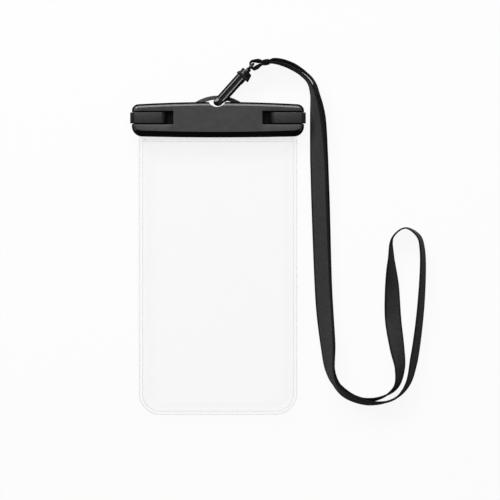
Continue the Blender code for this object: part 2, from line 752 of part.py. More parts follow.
def build():
    new_collections()
    black = material("black_moulding", (0.045, 0.045, 0.047), 0.42)
    lever_black = material("latch_moulding", (0.03, 0.03, 0.032), 0.36)
    film = material("clear_film", (0.93, 0.95, 0.95), 0.12, alpha=0.25)
    silicone = material("silicone", (0.55, 0.57, 0.58), 0.55)
    steel = material("steel", (0.6, 0.6, 0.62), 0.3, 1.0)
    hook_black = material("hook_moulding", (0.02, 0.02, 0.021), 0.28)
    webbing = material("webbing", (0.03, 0.03, 0.032), 0.85)
    back_bar(black)
    front_bar(black)
    seal_gasket(silicone)
    for side, name in ((-1, "left"), (1, "right")):
        latch(side, f"latch_{name}", lever_black)
        rod(f"latch_pin_{name}", *pin_ends(side), pin_radius, steel)
    pouch_film("pouch_back_film", back_film_z, 0.0, film)
    pouch_film("pouch_front_film", front_film_z + film_thickness, pouch_depth, film)
    holder = frame("hook_frame", hook_roll)
    hook_body(holder, hook_black)
    hook_gate(holder, hook_black)
    rod("gate_pin", *gate_pin_ends(hook_width / 2), gate_pin_radius, steel, holder)
    gate_spring(holder, steel)
    swivel_eye(frame("eye_frame", 0.0), hook_black)
    strap_clip(black)
    lanyard_strap(webbing)


build()
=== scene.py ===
import math

import bpy
from mathutils import Matrix, Vector


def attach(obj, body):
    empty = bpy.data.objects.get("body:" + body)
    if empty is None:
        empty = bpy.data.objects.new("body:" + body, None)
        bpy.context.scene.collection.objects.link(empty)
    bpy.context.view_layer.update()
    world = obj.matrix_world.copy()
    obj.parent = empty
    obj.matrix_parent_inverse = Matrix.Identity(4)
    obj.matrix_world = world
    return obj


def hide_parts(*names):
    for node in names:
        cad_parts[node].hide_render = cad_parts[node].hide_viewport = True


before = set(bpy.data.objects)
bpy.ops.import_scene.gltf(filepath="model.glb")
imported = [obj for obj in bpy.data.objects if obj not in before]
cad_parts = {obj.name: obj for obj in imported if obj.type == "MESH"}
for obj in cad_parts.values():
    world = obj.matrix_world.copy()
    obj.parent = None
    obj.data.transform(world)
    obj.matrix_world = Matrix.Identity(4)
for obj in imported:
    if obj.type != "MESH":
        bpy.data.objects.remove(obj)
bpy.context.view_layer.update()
print("frame loaded")


def pickOnly(piece):
    if bpy.context.object and bpy.context.object.mode != "OBJECT":
        bpy.ops.object.mode_set(mode="OBJECT")
    bpy.ops.object.select_all(action="DESELECT")
    piece.select_set(True)
    bpy.context.view_layer.objects.active = piece


def startEdit(piece, kind="VERT"):
    pickOnly(piece)
    bpy.ops.object.mode_set(mode="EDIT")
    bpy.ops.mesh.select_mode(type=kind)
    bpy.ops.mesh.select_all(action="DESELECT")


def endEdit():
    bpy.ops.object.mode_set(mode="OBJECT")


def settle(piece):
    # puts the object at the origin, with its place in its mesh
    pickOnly(piece)
    bpy.ops.object.transform_apply(location=True, rotation=True, scale=True)


def applyModifiers(piece):
    pickOnly(piece)
    for step in list(piece.modifiers):
        bpy.ops.object.modifier_apply(modifier=step.name)


def addBox(name, low, high):
    bpy.ops.object.select_all(action="DESELECT")
    bpy.ops.mesh.primitive_cube_add(size=1, location=[(a + b) / 2 for a, b in zip(low, high)])
    made = bpy.context.object
    made.name = name
    made.scale = [b - a for a, b in zip(low, high)]
    settle(made)
    return made


def addRound(name, start, end, radius, endRadius=None, sides=48):
    # a cylinder, or a cone with two radii, from one point to another
    start, end = Vector(start), Vector(end)
    along = end - start
    bpy.ops.object.select_all(action="DESELECT")
    bpy.ops.mesh.primitive_cone_add(vertices=sides, radius1=radius, depth=along.length,
                                    radius2=radius if endRadius is None else endRadius)
    made = bpy.context.object
    made.name = name
    turn = along.to_track_quat("Z", "Y").to_matrix().to_4x4()
    made.matrix_world = Matrix.Translation((start + end) / 2) @ turn
    settle(made)
    return made


def traceOutline(name, points, push):
    # the outline filled, then pushed out into a solid
    bpy.ops.object.select_all(action="DESELECT")
    bpy.ops.mesh.primitive_plane_add(size=0.001, location=points[0])
    made = bpy.context.object
    made.name = name
    bpy.ops.object.mode_set(mode="EDIT")
    bpy.ops.mesh.select_mode(type="VERT")
    bpy.ops.mesh.select_all(action="SELECT")
    bpy.ops.mesh.merge(type="CENTER")
    for a, b in zip(points, points[1:]):
        step = Vector(b) - Vector(a)
        bpy.ops.mesh.extrude_region_move(TRANSFORM_OT_translate={"value": step})
    bpy.ops.mesh.select_all(action="SELECT")
    bpy.ops.mesh.edge_face_add()
    bpy.ops.mesh.extrude_region_move(TRANSFORM_OT_translate={"value": push})
    bpy.ops.mesh.select_all(action="SELECT")
    bpy.ops.mesh.normals_make_consistent(inside=False)
    endEdit()
    settle(made)
    return made


def cutOrJoin(piece, other, operation="DIFFERENCE"):
    pickOnly(piece)
    step = piece.modifiers.new("combine", "BOOLEAN")
    step.operation = operation
    step.solver = "EXACT"
    step.object = other
    bpy.ops.object.modifier_apply(modifier=step.name)
    bpy.data.objects.remove(other, do_unlink=True)


def softenEdges(piece, width, segments=3, angle=40):
    step = piece.modifiers.new("soften", "BEVEL")
    step.width = width
    step.segments = segments
    step.limit_method = "ANGLE"
    step.angle_limit = math.radians(angle)
    step.use_clamp_overlap = True
    applyModifiers(piece)


def shadeByAngle(piece, angle=35):
    pickOnly(piece)
    bpy.ops.object.shade_smooth_by_angle(angle=math.radians(angle))


def bevelEdges(piece, width, segments, test):
    # the test is given the two ends of each edge
    startEdit(piece, "EDGE")
    endEdit()
    points = piece.data.vertices
    for edge in piece.data.edges:
        edge.select = test(points[edge.vertices[0]].co, points[edge.vertices[1]].co)
    bpy.ops.object.mode_set(mode="EDIT")
    bpy.ops.mesh.bevel(offset=width, segments=segments, affect="EDGES")
    endEdit()


def addMesh(name, points, faces):
    mesh = bpy.data.meshes.new(name)
    mesh.from_pydata([tuple(point) for point in points], [], faces)
    made = bpy.data.objects.new(name, mesh)
    bpy.context.scene.collection.objects.link(made)
    return made


def ringFaces(rings, count):
    # the faces between neighbouring rings of points
    return [(i * count + j, i * count + k, (i + 1) * count + k, (i + 1) * count + j)
            for i in range(rings - 1) for j, k in zip(range(count), [*range(1, count), 0])]


def endFaces(rings, count):
    return [tuple(range(count)), tuple((rings - 1) * count + j for j in reversed(range(count)))]


def faceOut(piece):
    startEdit(piece)
    bpy.ops.mesh.select_all(action="SELECT")
    bpy.ops.mesh.normals_make_consistent(inside=False)
    endEdit()


def putAt(piece, place):
    # moves a piece that was drawn about the origin
    piece.matrix_world = place
    settle(piece)


def arcPoints(x, y, radius, start, end, steps):
    angles = [math.radians(start + (end - start) * i / steps) for i in range(steps + 1)]
    return [(x + radius * math.cos(a), y + radius * math.sin(a)) for a in angles]


def giveFinish(piece, material, body):
    piece.data.materials.clear()
    piece.data.materials.append(material)
    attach(piece, body)


def giveLooks(piece, finishes, choose):
    # several finishes on one piece, chosen face by face
    piece.data.materials.clear()
    for finish in finishes:
        piece.data.materials.append(finish)
    for face in piece.data.polygons:
        face.material_index = choose(face)


def newMaterial(name, colour, roughness, values=()):
    made = bpy.data.materials.new(name)
    made.use_nodes = True
    shader = made.node_tree.nodes["Principled BSDF"]
    for key, value in {"Base Color": (*colour, 1), "Roughness": roughness, **dict(values)}.items():
        shader.inputs[key].default_value = value
    return made, made.node_tree, shader


def addNode(tree, kind, values=(), sources=(), **settings):
    # values and sources go by the name or the number of the input
    made = tree.nodes.new("ShaderNode" + kind)
    for key, value in settings.items():
        setattr(made, key, value)
    for key, value in dict(values).items():
        made.inputs[key].default_value = value
    for key, source in dict(sources).items():
        tree.links.new(source, made.inputs[key])
    return made


def addNoise(tree, place, scale, detail):
    return addNode(tree, "TexNoise", {"Scale": scale, "Detail": detail}, {"Vector": place.outputs["Object"]})


def addBump(tree, shader, height, depth, strength=1.0):
    bump = addNode(tree, "Bump", {"Strength": strength, "Distance": depth}, {"Height": height})
    tree.links.new(bump.outputs["Normal"], shader.inputs["Normal"])


def rampBetween(tree, fac, stops, target=None):
    ramp = addNode(tree, "ValToRGB", (), {"Fac": fac})
    for point, (place, colour) in zip(ramp.color_ramp.elements, stops):
        point.position = place
        point.color = (*colour, 1)
    if target:
        tree.links.new(ramp.outputs["Color"], target)
    return ramp


def mouldedPlastic(name, colour, roughness, specular, cloudScale, mottle, grainScale, strength, depth):
    # black moulding: a fine spark-eroded grain over a little cloudiness
    made, tree, shader = newMaterial(name, colour, roughness, {"Specular IOR Level": specular})
    place = addNode(tree, "TexCoord")
    cloud = addNoise(tree, place, cloudScale, 4.0)
    dark = [c * (1 - mottle) for c in colour]
    light = [c * (1 + mottle) for c in colour]
    rampBetween(tree, cloud.outputs["Fac"], [(0.3, dark), (0.7, light)], shader.inputs["Base Color"])
    grain = addNoise(tree, place, grainScale, 2.0).outputs["Fac"]
    band = {"To Min": roughness - 0.07, "To Max": roughness + 0.07}
    rough = addNode(tree, "MapRange", band, {"Value": grain})
    tree.links.new(rough.outputs["Result"], shader.inputs["Roughness"])
    addBump(tree, shader, grain, depth, strength)
    return made


# colour, roughness, specular, scale and depth of the clouds, then scale, strength and depth of the grain
mouldings = {
    "clampMoulding": ((0.051, 0.051, 0.053), 0.46, 0.35, 260, 0.12, 2300, 0.5, 0.00006),
    # painted highlight: lighter than the clamp, for edges that face the lamps, and also smoother
    "paintedHighlightMoulding": ((0.07, 0.07, 0.072), 0.28, 0.6, 260, 0.12, 2300, 0.2, 0.00003),
    # near black: the gate's and the clip's own colour, and painted shade on the clamp's foot roll and
    # recesses and on the lever tips
    "blackAndPaintedShadeMoulding": ((0.004, 0.004, 0.0042), 0.4, 0.08, 260, 0.1, 2300, 0.2, 0.00003),
    # painted shade: near black without shine, for the clamp's rim, the eyelet's sides and the hook's flanks
    "paintedShadeRimMoulding": ((0.004, 0.004, 0.0042), 0.6, 0.0, 260, 0.1, 2300, 0.1, 0.00002),
    "latchMoulding": ((0.032, 0.032, 0.034), 0.42, 0.3, 400, 0.12, 2600, 0.4, 0.00005),
    # painted shade on the levers' finger slopes and knuckles
    "paintedShadeTipMoulding": ((0.016, 0.016, 0.017), 0.4, 0.2, 400, 0.12, 2600, 0.3, 0.00004),
    "backMoulding": ((0.035, 0.035, 0.037), 0.42, 0.4, 300, 0.1, 2000, 0.3, 0.00005),
    "hookMoulding": ((0.008, 0.008, 0.0085), 0.24, 0.6, 500, 0.1, 1500, 0.12, 0.00003)}
blacks = [mouldedPlastic(name, *look) for name, look in mouldings.items()]
clampBlack, paintedHighlightBlack, blackAndPaintedShade, paintedShadeRimBlack, leverBlack, paintedShadeTipBlack, backBlack, hookBlack = blacks


def clearFilm(look):
    # soft clear film: nearly all light goes through, with a faint milky body and a smooth skin
    made, tree, shader = newMaterial(look["name"], look["colour"], look["roughness"])
    waves = addNoise(tree, addNode(tree, "TexCoord"), 55, 2.0)
    haze = addNode(tree, "MapRange", {"To Min": look["alpha"] * 0.85, "To Max": look["alpha"] * 1.15},
                   {"Value": waves.outputs["Fac"]})
    tree.links.new(haze.outputs["Result"], shader.inputs["Alpha"])
    addBump(tree, shader, waves.outputs["Fac"], 0.0004, 0.12)
    return made


filmClear = clearFilm({"name": "clearFilm", "colour": (0.95, 0.965, 0.97), "roughness": 0.12, "alpha": 0.035})
weldGrey = clearFilm({"name": "weldedFilm", "colour": (0.66, 0.69, 0.7), "roughness": 0.3, "alpha": 0.16})


def wovenStrap(look):
    # black polyester webbing. U runs along it and V across it, both in metres.
    made, tree, shader = newMaterial(look["name"], look["colour"], look["roughness"], {
        "Specular IOR Level": 0.25, "Sheen Weight": look["sheen"], "Sheen Roughness": 0.5,
        "Sheen Tint": (0.7, 0.7, 0.75, 1)})
    place = addNode(tree, "TexCoord")
    flat = place.outputs["UV"]
    # ribs that lean across the strap, crossed by the warp yarns
    lean = addNode(tree, "Mapping", {"Rotation": (0, 0, math.radians(28))}, {"Vector": flat})
    ribs = addNode(tree, "TexWave", {"Scale": 1 / look["pick"] / 2, "Distortion": 0.6},
                   {"Vector": lean.outputs["Vector"]}, wave_type="BANDS", bands_direction="X")
    warp = addNode(tree, "TexWave", {"Scale": 1 / look["yarn"] / 2, "Distortion": 0.3}, {"Vector": flat},
                   wave_type="BANDS", bands_direction="Y")
    weave = addNode(tree, "Math", (), {0: ribs.outputs["Fac"], 1: warp.outputs["Fac"]}, operation="MULTIPLY")
    fuzz = addNoise(tree, place, 900, 4.0)
    # painted shade along both edges of the strap
    split = addNode(tree, "SeparateXYZ", (), {"Vector": flat})
    far = addNode(tree, "Math", (), {0: split.outputs["Y"]}, operation="ABSOLUTE")
    band = {"From Min": look["paintedEdgeShadeStart"] - 0.0005, "From Max": look["paintedEdgeShadeStart"] + 0.0002,
            "To Min": 1.0, "To Max": look["paintedEdgeShade"]}
    edge = addNode(tree, "MapRange", band, {"Value": far.outputs["Value"]}, interpolation_type="SMOOTHSTEP")
    face = rampBetween(tree, fuzz.outputs["Fac"], [
        (0.25, [c * 0.72 for c in look["colour"]]), (0.75, [c * 1.3 for c in look["colour"]])])
    shade = addNode(tree, "Mix", {"Factor": 1.0}, {"A": face.outputs["Color"], "B": edge.outputs["Result"]},
                    data_type="RGBA", blend_type="MULTIPLY")
    tree.links.new(shade.outputs["Result"], shader.inputs["Base Color"])
    addBump(tree, shader, weave.outputs["Value"], look["relief"], 0.7)
    return made


webbing = wovenStrap({
    "name": "webbing", "colour": (0.036, 0.036, 0.038), "roughness": 0.82, "sheen": 0.12, "pick": 0.0011,
    "yarn": 0.0007, "paintedEdgeShadeStart": 0.0043, "paintedEdgeShade": 0.16, "relief": 0.00012})


def brushedMetal(name, colour, roughness):
    made, tree, shader = newMaterial(name, colour, roughness, {"Metallic": 1.0})
    marks = addNoise(tree, addNode(tree, "TexCoord"), 1800, 3.0).outputs["Fac"]
    rampBetween(tree, marks, [(0.3, [c * 0.85 for c in colour]), (0.7, colour)], shader.inputs["Base Color"])
    addBump(tree, shader, marks, 0.00002)
    return made


pinSteel = brushedMetal("pinSteel", (0.6, 0.6, 0.62), 0.3)


def softSilicone(name, colour, roughness):
    made, tree, shader = newMaterial(name, colour, roughness, {"Subsurface Weight": 0.1})
    dust = addNoise(tree, addNode(tree, "TexCoord"), 700, 4.0).outputs["Fac"]
    rampBetween(tree, dust, [(0.3, [c * 0.9 for c in colour]), (0.7, colour)], shader.inputs["Base Color"])
    return made


sealGrey = softSilicone("sealSilicone", (0.5, 0.52, 0.53), 0.55)
print("materials made")


view = {"centre": (0.02035, 0.0035), "width": 0.318, "distance": 3.0, "focusHeight": 0.008, "sensor": 36}
bpy.ops.object.camera_add(location=(*view["centre"], view["distance"] + view["focusHeight"]),
                          rotation=(0, 0, 0))
camera = bpy.context.object
camera.name = "photoCamera"
camera.data.sensor_width = view["sensor"]
camera.data.lens = view["sensor"] * view["distance"] / view["width"]
camera.data.clip_end = 20
bpy.context.scene.camera = camera

studio = {
    "floorSize": 8, "floorDrop": 0.0004, "floorColour": 0.9, "floorInside": 0.3, "background": 1.0,
    "shadowShare": 0.08, "world": 0.14}


def seenDirectly(tree):
    # 1 for camera and see-through rays, 0 for light that falls on the object
    path = addNode(tree, "LightPath").outputs
    either = addNode(tree, "Math", (), {0: path["Is Camera Ray"], 1: path["Is Transmission Ray"]},
                     operation="MAXIMUM")
    return either.outputs["Value"]


bpy.ops.object.select_all(action="DESELECT")
bpy.ops.mesh.primitive_plane_add(size=studio["floorSize"], location=(0, 0, -studio["floorDrop"]))
floor = bpy.context.object
floor.name = "floor"
settle(floor)
floorPaint, floorTree, floorShader = newMaterial("floorPaint", (studio["floorColour"],) * 3, 0.9,
                                                 {"Specular IOR Level": 0.0})
glow = addNode(floorTree, "Emission", {"Strength": studio["background"]})
direct = seenDirectly(floorTree)
share = addNode(floorTree, "Math", {1: 1 - studio["shadowShare"]}, {0: direct}, operation="MULTIPLY")
floorTone = addNode(floorTree, "MapRange", {"To Min": studio["floorInside"], "To Max": studio["floorColour"]},
                    {"Value": direct})
floorTree.links.new(floorTone.outputs["Result"], floorShader.inputs["Base Color"])
blendFloor = addNode(floorTree, "MixShader", (), {
    "Fac": share.outputs["Value"], 1: floorShader.outputs["BSDF"], 2: glow.outputs["Emission"]})
floorTree.links.new(blendFloor.outputs["Shader"], floorTree.nodes["Material Output"].inputs["Surface"])
floor.data.materials.append(floorPaint)

world = bpy.data.worlds.new("studioWorld")
bpy.context.scene.world = world
world.use_nodes = True
worldTree = world.node_tree
worldLight = worldTree.nodes["Background"]
worldLight.inputs["Color"].default_value = (1, 1, 1, 1)
worldPath = addNode(worldTree, "LightPath")
worldLevel = addNode(worldTree, "MapRange", {"To Min": studio["world"], "To Max": 1.0},
                     {"Value": worldPath.outputs["Is Camera Ray"]})
worldTree.links.new(worldLevel.outputs["Result"], worldLight.inputs["Strength"])


def addSoftbox(name, place, target, size, power):
    bpy.ops.object.light_add(type="AREA", location=place)
    lamp = bpy.context.object
    lamp.name = name
    lamp.data.shape = "RECTANGLE"
    lamp.data.size, lamp.data.size_y = size
    lamp.data.energy = power
    lamp.rotation_euler = (Vector(target) - Vector(place)).to_track_quat("-Z", "Y").to_euler()


addSoftbox("overhead", (-0.15, 0.8, 1.35), (0.02, 0.0, 0), (1.0, 1.0), 5)
addSoftbox("headSide", (-0.1, 1.26, 0.95), (0.02, 0.05, 0), (1.6, 0.5), 15)
addSoftbox("cornerSide", (-0.9, 0.95, 0.95), (0.02, 0.05, 0), (0.7, 0.5), 10)
bpy.context.scene.view_settings.view_transform = "Standard"
print("camera and studio set")


# past every piece, for cutters that go right through
past = {"below": -0.01, "above": 0.03, "aside": 0.07}
clamp = {
    "half": 0.0547, "top": 0.0976, "foot": 0.0752, "topBow": 0.0017, "footBow": 0.0008,
    "topCorner": 0.004, "footCorner": 0.006, "cuts": 9, "cutStep": 0.0053,
    "seatZ": 0.0067, "latchY": 0.0875, "pinX": 0.0532, "pinY": 0.0871, "pinZ": 0.0029}
middleY = (clamp["top"] + clamp["foot"]) / 2
hook = {
    "nose": Vector((-0.0013, 0.0953, 0.00615)), "heading": 48.2, "rise": 4.0, "roll": -1.0,
    "width": 0.0063, "half": 0.0057, "spine": 0.0031, "tip": 0.0022, "wall": 0.0019, "tipLength": 0.0097,
    "noseRound": 0.0036, "throat": 0.0012, "neckStart": 0.0206, "neckLow": -0.0020,
    "neckCheek": 0.0213, "neckFoot": -0.0053, "neckEnd": 0.0262, "grain": 0.00012, "relax": 3,
    # the rounds of the collar, as start, end and the radius at each, and what is cut for eye, gate and spring
    "collar": ((0.0245, 0.0265, 0.0043, 0.0040), (0.0260, 0.0284, 0.0034, 0.0033),
               (0.0282, 0.0296, 0.0034, 0.0034)),
    "bore": ((0.0258, 0, 0), (0.031, 0, 0), 0.0017),
    "slot": ((0.0109, -0.0016, -0.01), (0.0386, 0.0016, -0.0020)),
    "springHole": ((0.0219, 0, -0.0057), (0.0219, 0, 0.0013), 0.0012),
    # the nose seen from above, from its right side round to its left, as (along, left)
    "nosePlan": (
        (0.0072, -0.00325), (0.0053, -0.0024), (0.0036, -0.0020), (0.0022, -0.00195), (0.0014, -0.0017),
        (0.0008, -0.0012), (0.0003, -0.0003), (0.00005, 0.0006), (0.00005, 0.0014), (0.0004, 0.0022),
        (0.0011, 0.0028), (0.0022, 0.0031), (0.0030, 0.00325)),
    "planEnd": 0.03, "planClear": 0.0001,
    # where each cut along the spine starts, its run, and its section as distances left and above
    "cuts": (
        (0.0054, 0.0196, ((0.0011, 0.0), (0.0010, -0.00036), (-0.0010, -0.00036), (-0.00165, 0.0),
                          (-0.00165, 0.002), (0.0011, 0.002))),
        (-0.001, 0.026, ((0.00145, 0.0), (0.0020, -0.0003), (0.0036, -0.0004), (0.0036, 0.0005),
                         (0.00145, 0.0005))),
        (-0.001, 0.026, ((-0.0019, 0.0), (-0.0021, -0.0003), (-0.0036, -0.0004), (-0.0036, 0.0005),
                         (-0.0019, 0.0005))),
        (0.0016, 0.0034, ((0.0009, 0.0), (0.0025, -0.0008), (0.0036, -0.0012), (0.0036, 0.0005),
                          (0.0009, 0.0005)))),
    # where the painted shade on the flanks begins, a near-black finish without shine: left of the spine, left
    # of the nose, right of both, and how far along
    "rimLeft": 0.0021, "noseLeft": 0.0027, "rimRight": -0.0021, "noseEnd": 0.0052, "rimEnd": 0.024}
gate = {
    "pivotX": 0.0234, "pivotZ": -0.0038, "start": 0.00985, "barEnd": 0.0199, "inner": -0.0035,
    "outer": -0.0057, "half": 0.0023, "tipDrop": 0.0004, "rootHalf": 0.0012,
    "root": 0.0014, "rootRise": (0.0017, 0.0011), "tabEnd": 0.0292, "tabLow": -0.0074,
    "tabThick": 0.0017, "tabStep": 0.0008, "tabEdge": 0.0006,
    # the ear of the thumb tab seen from above, as (along, left)
    "ear": ((0.0243, -0.0008), (0.0243, -0.0049), (0.0259, -0.0046), (0.0292, -0.0037), (0.0292, -0.0008)),
    "earDrop": 0.0012, "earThick": 0.0015, "pinReach": 0.006, "pinRadius": 0.0006, "edge": 0.00012,
    "ribs": 0.0007, "ribStart": 0.0006, "ribEnd": 0.0009, "ribDepth": 0.00028, "ribHalf": 0.003}
swivel = {
    "near": 0.0315, "far": 0.0355, "high": 0.0063, "wire": 0.0008, "stem": 0.0013, "stemStart": 0.0262,
    "stemInto": 0.0002, "boss": ((0.0299, -0.0004, 0), (0.0318, -0.0007, 0), 0.0015, 0.0011),
    "head": ((0.0261, 0, 0), (0.0272, 0, 0), 0.0016)}


def swivelPlace(roll):
    heading = Matrix.Rotation(math.radians(hook["heading"]), 4, "Z")
    rise = Matrix.Rotation(-math.radians(hook["rise"]), 4, "Y")
    return Matrix.Translation(hook["nose"]) @ heading @ rise @ Matrix.Rotation(math.radians(roll), 4, "X")


hookPlace = swivelPlace(hook["roll"])
eyePlace = swivelPlace(0.0)
clip = {"centre": Vector((0.0305, 0.1229, 0.0084)), "heading": 10.0, "length": 0.004}
clipPlace = Matrix.Translation(clip["centre"]) @ Matrix.Rotation(math.radians(clip["heading"]), 4, "Z")


strap = {
    "width": 0.0105, "thickness": 0.001, "layerGap": 0.0003, "bend": 0.00195, "step": 0.0012, "length": 0.79,
    "lead": ((0.0272, 0.1235, 6), (0.0257, 0.1237, 10), (0.0240, 0.12375, 7)), "bendLean": (3, -1),
    "slack": ((0.0209, 0.12015, 0), (0.0217, 0.1192, -3), (0.0229, 0.1188, -8), (0.0249, 0.1198, -10),
              (0.0269, 0.1212, -5)),
    "route": (
        (0.0350, 0.12275, 0.0083, -2), (0.0412, 0.1216, 0.0082, -7), (0.0475, 0.1189, 0.0080, -8),
        (0.0532, 0.1152, 0.0078, -7), (0.0580, 0.1101, 0.0076, -9), (0.0606, 0.1021, 0.0077, -18),
        (0.0622, 0.0890, 0.0070, -41), (0.0637, 0.0600, 0.0056, -75), (0.0645, 0.0350, 0.0053, -80),
        (0.0672, -0.0283, 0.0049, -86),
        (0.0696, -0.0570, 0.0068, -55), (0.0712, -0.0735, 0.0084, -28), (0.0744, -0.0819, 0.0086, -12),
        (0.0803, -0.0883, 0.0085, -18), (0.0877, -0.0918, 0.0084, -20), (0.0962, -0.0939, 0.0078, -15),
        (0.1068, -0.0933, 0.0060, -5), (0.1145, -0.0898, 0.0052, -5), (0.1208, -0.0817, 0.0051, -17),
        (0.1247, -0.0665, 0.0049, -29), (0.1294, -0.0283, 0.0049, -25), (0.1300, 0.0040, 0.00505, -18),
        (0.1276, 0.0124, 0.0051, -13), (0.1191, 0.0175, 0.0051, 0), (0.1112, 0.0115, 0.0051, 3),
        (0.1102, -0.0020, 0.0048, 22), (0.1108, -0.0200, 0.0031, 60), (0.1116, -0.0410, 0.0008, 90),
        (0.1140, -0.0588, 0.0026, 65), (0.1157, -0.0720, 0.0043, 38), (0.1136, -0.0830, 0.0051, 17),
        (0.1075, -0.0887, 0.0051, 4), (0.0980, -0.0919, 0.00505, 12), (0.0882, -0.0912, 0.00495, 20),
        (0.0769, -0.0825, 0.00505, 10), (0.0720, -0.0735, 0.0047, 27), (0.0704, -0.0570, 0.0033, 55),
        (0.0679, -0.0283, 0.0009, 86), (0.0660, 0.0350, 0.0013, 82), (0.0652, 0.0600, 0.0018, 76),
        (0.0645, 0.0890, 0.0038, 46),
        (0.0630, 0.1021, 0.00505, 18), (0.0610, 0.1104, 0.0055, 4), (0.0563, 0.1158, 0.0056, 3),
        (0.0485, 0.1210, 0.0061, 8), (0.0410, 0.1239, 0.0071, 7), (0.0350, 0.1245, 0.0082, 6))}


def onSpan(ends, knots, t):
    # the point at t on a smooth curve through four points
    row = list(ends)
    for reach, base in ((1, 0), (2, 0), (1, 1)):
        near, far = knots[base:], knots[base + reach:]
        shares = [(t - a) / (b - a) for a, b in zip(near, far)]
        row = [p + (q - p) * share for p, q, share in zip(row, row[1:], shares)]
    return row[0]


def strapLine():
    # the strap's middle line, finely spaced, as (x, y, z, lean)
    offset = (strap["thickness"] + strap["layerGap"]) / 2
    lowest = strap["thickness"] / 2

    def inClip(along, across):
        return Vector((*(clipPlace @ Vector((along, across, 0))), 0.0))

    route = [Vector((x, y, z, math.radians(lean))) for x, y, z, lean in strap["route"]]
    start = [inClip(strap["layerGap"], -offset), inClip(clip["length"] / 2, -offset)]
    finish = [inClip(clip["length"] / 2, offset), inClip(-clip["length"] / 2, offset)]
    points = start + route + finish
    padded = [points[0] * 2 - points[1], *points, points[-1] * 2 - points[-2]]
    line = []
    for a, b, c, d in zip(padded, padded[1:], padded[2:], padded[3:]):
        knots = [0.0]
        for p, q in ((a, b), (b, c), (c, d)):
            knots.append(knots[-1] + max((q - p).xyz.length, 1e-6) ** 0.5)
        steps = max(1, math.ceil((c - b).xyz.length / strap["step"]))
        for i in range(steps):
            share = i / steps
            point = onSpan((a, b, c, d), knots, knots[1] + (knots[2] - knots[1]) * share)
            point.w = b.w + (c.w - b.w) * share
            point.z = max(point.z, math.cos(point.w) * strap["width"] / 2 + lowest)
            line.append(point)
    line.append(points[-1])
    eye = eyePlace @ Vector((swivel["far"], 0, 0))
    bend = arcPoints(eye.x, eye.y, strap["bend"], 80 + clip["heading"], 220 + clip["heading"], 16)
    level = clip["centre"].z
    line += [Vector((x, y, level, math.radians(lean))) for x, y, lean in strap["lead"]]
    leanFrom, leanTo = strap["bendLean"]
    for i, (x, y) in enumerate(bend):
        lean = leanFrom + (leanTo - leanFrom) * i / (len(bend) - 1)
        line.append(Vector((x, y, level, math.radians(lean))))
    line += [Vector((x, y, level, math.radians(lean))) for x, y, lean in strap["slack"]]
    line += [inClip(-clip["length"] / 2, -offset), inClip(-strap["layerGap"], -offset)]
    return line


def makeStrap():
    line = strapLine()
    half, thin = strap["width"] / 2, strap["thickness"] / 2
    flat = half - thin
    # the section, from one selvedge round to the other
    section = [(flat * s, thin) for s in (-1, -0.8, -0.5, 0, 0.5, 0.8, 1)]
    section += [(flat + thin * math.cos(a), thin * math.sin(a)) for a in (math.pi / 4, 0, -math.pi / 4)]
    section += [(flat * s, -thin) for s in (1, 0.8, 0.5, 0, -0.5, -0.8, -1)]
    section += [(-flat - thin * math.cos(a), -thin * math.sin(a)) for a in (math.pi / 4, 0, -math.pi / 4)]
    count = len(section)
    centres = [p.xyz for p in line]
    verts, along = [], [0.0]
    for a, b in zip(centres, centres[1:]):
        along.append(along[-1] + (b - a).length)
    for i, point in enumerate(line):
        tangent = (centres[min(i + 1, len(line) - 1)] - centres[max(i - 1, 0)]).normalized()
        side = tangent.cross(Vector((0, 0, 1))).normalized()
        up = side.cross(tangent)
        across = up * math.cos(point.w) + side * math.sin(point.w)
        through = tangent.cross(across)
        verts += [centres[i] + across * a + through * b for a, b in section]
    made = addMesh("lanyardStrap", verts, ringFaces(len(line), count) + endFaces(len(line), count))
    mesh = made.data
    layer = mesh.uv_layers.new(name="UVMap")
    for face in mesh.polygons:
        for corner in face.loop_indices:
            place = mesh.loops[corner].vertex_index
            layer.data[corner].uv = (along[place // count], section[place % count][0])
    faceOut(made)
    shadeByAngle(made, 50)
    return made, [tuple(c) for c in centres]


lanyard, strapCentres = makeStrap()
giveFinish(lanyard, webbing, "case")
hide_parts("lanyard_strap")
print("strap laid")


front = {
    "wall": 0.0045, "roundOne": (0.0006, 0.0009), "roundTwo": (0.0005, 0.0004), "slope": (0.0011, 0.0005),
    "footShift": 0.0018, "footBend": 0.0009, "footDrop": 0.0013, "footShare": 0.3,
    "bedZ": 0.0099, "bedEnd": 0.0284, "bedHalf": 0.0042, "armX": 0.0527, "lip": 0.0005,
    "notchX": -0.0006, "notchRadius": 0.0060, "notchDepth": 0.0032,
    # how far the painted shade on the foot and the painted highlight on the bevel reach, and where the recess
    # walls end
    "paintedFootShadeBand": 0.0045, "paintedBevelHighlightBand": 0.006, "wallX": 0.0515, "wallDrop": 0.0004}


def bowed(piece):
    # bows the long edges of a bar, the upper one down and the lower one up towards its ends
    for vertex in piece.data.vertices:
        out = (vertex.co.x / clamp["half"]) ** 2
        if vertex.co.y > middleY:
            vertex.co.y -= clamp["topBow"] * out
        else:
            vertex.co.y += clamp["footBow"] * out


def barBlank(name, low, high):
    made = addBox(name, (-clamp["half"], clamp["foot"], low), (clamp["half"], clamp["top"], high))
    for isTop, radius in ((True, clamp["topCorner"]), (False, clamp["footCorner"])):
        bevelEdges(made, radius, 8, lambda a, b: (a - b).xy.length < 1e-6 and (a.y > middleY) == isTop)
    bpy.ops.object.mode_set(mode="EDIT")
    for i in range(-clamp["cuts"], clamp["cuts"] + 1):
        bpy.ops.mesh.select_all(action="SELECT")
        bpy.ops.mesh.bisect(plane_co=(clamp["cutStep"] * i, 0, 0), plane_no=(1, 0, 0))
    endEdit()
    bowed(made)
    return made


def endCutter(side, start, half, low=past["below"]):
    # goes about a lever, from a place on the clamp to past the clamp's end
    xs = sorted((side * start, side * past["aside"]))
    lowY, highY = clamp["latchY"] - half, clamp["latchY"] + half
    return addBox("endCutter", (xs[0], lowY, low), (xs[1], highY, past["above"]))


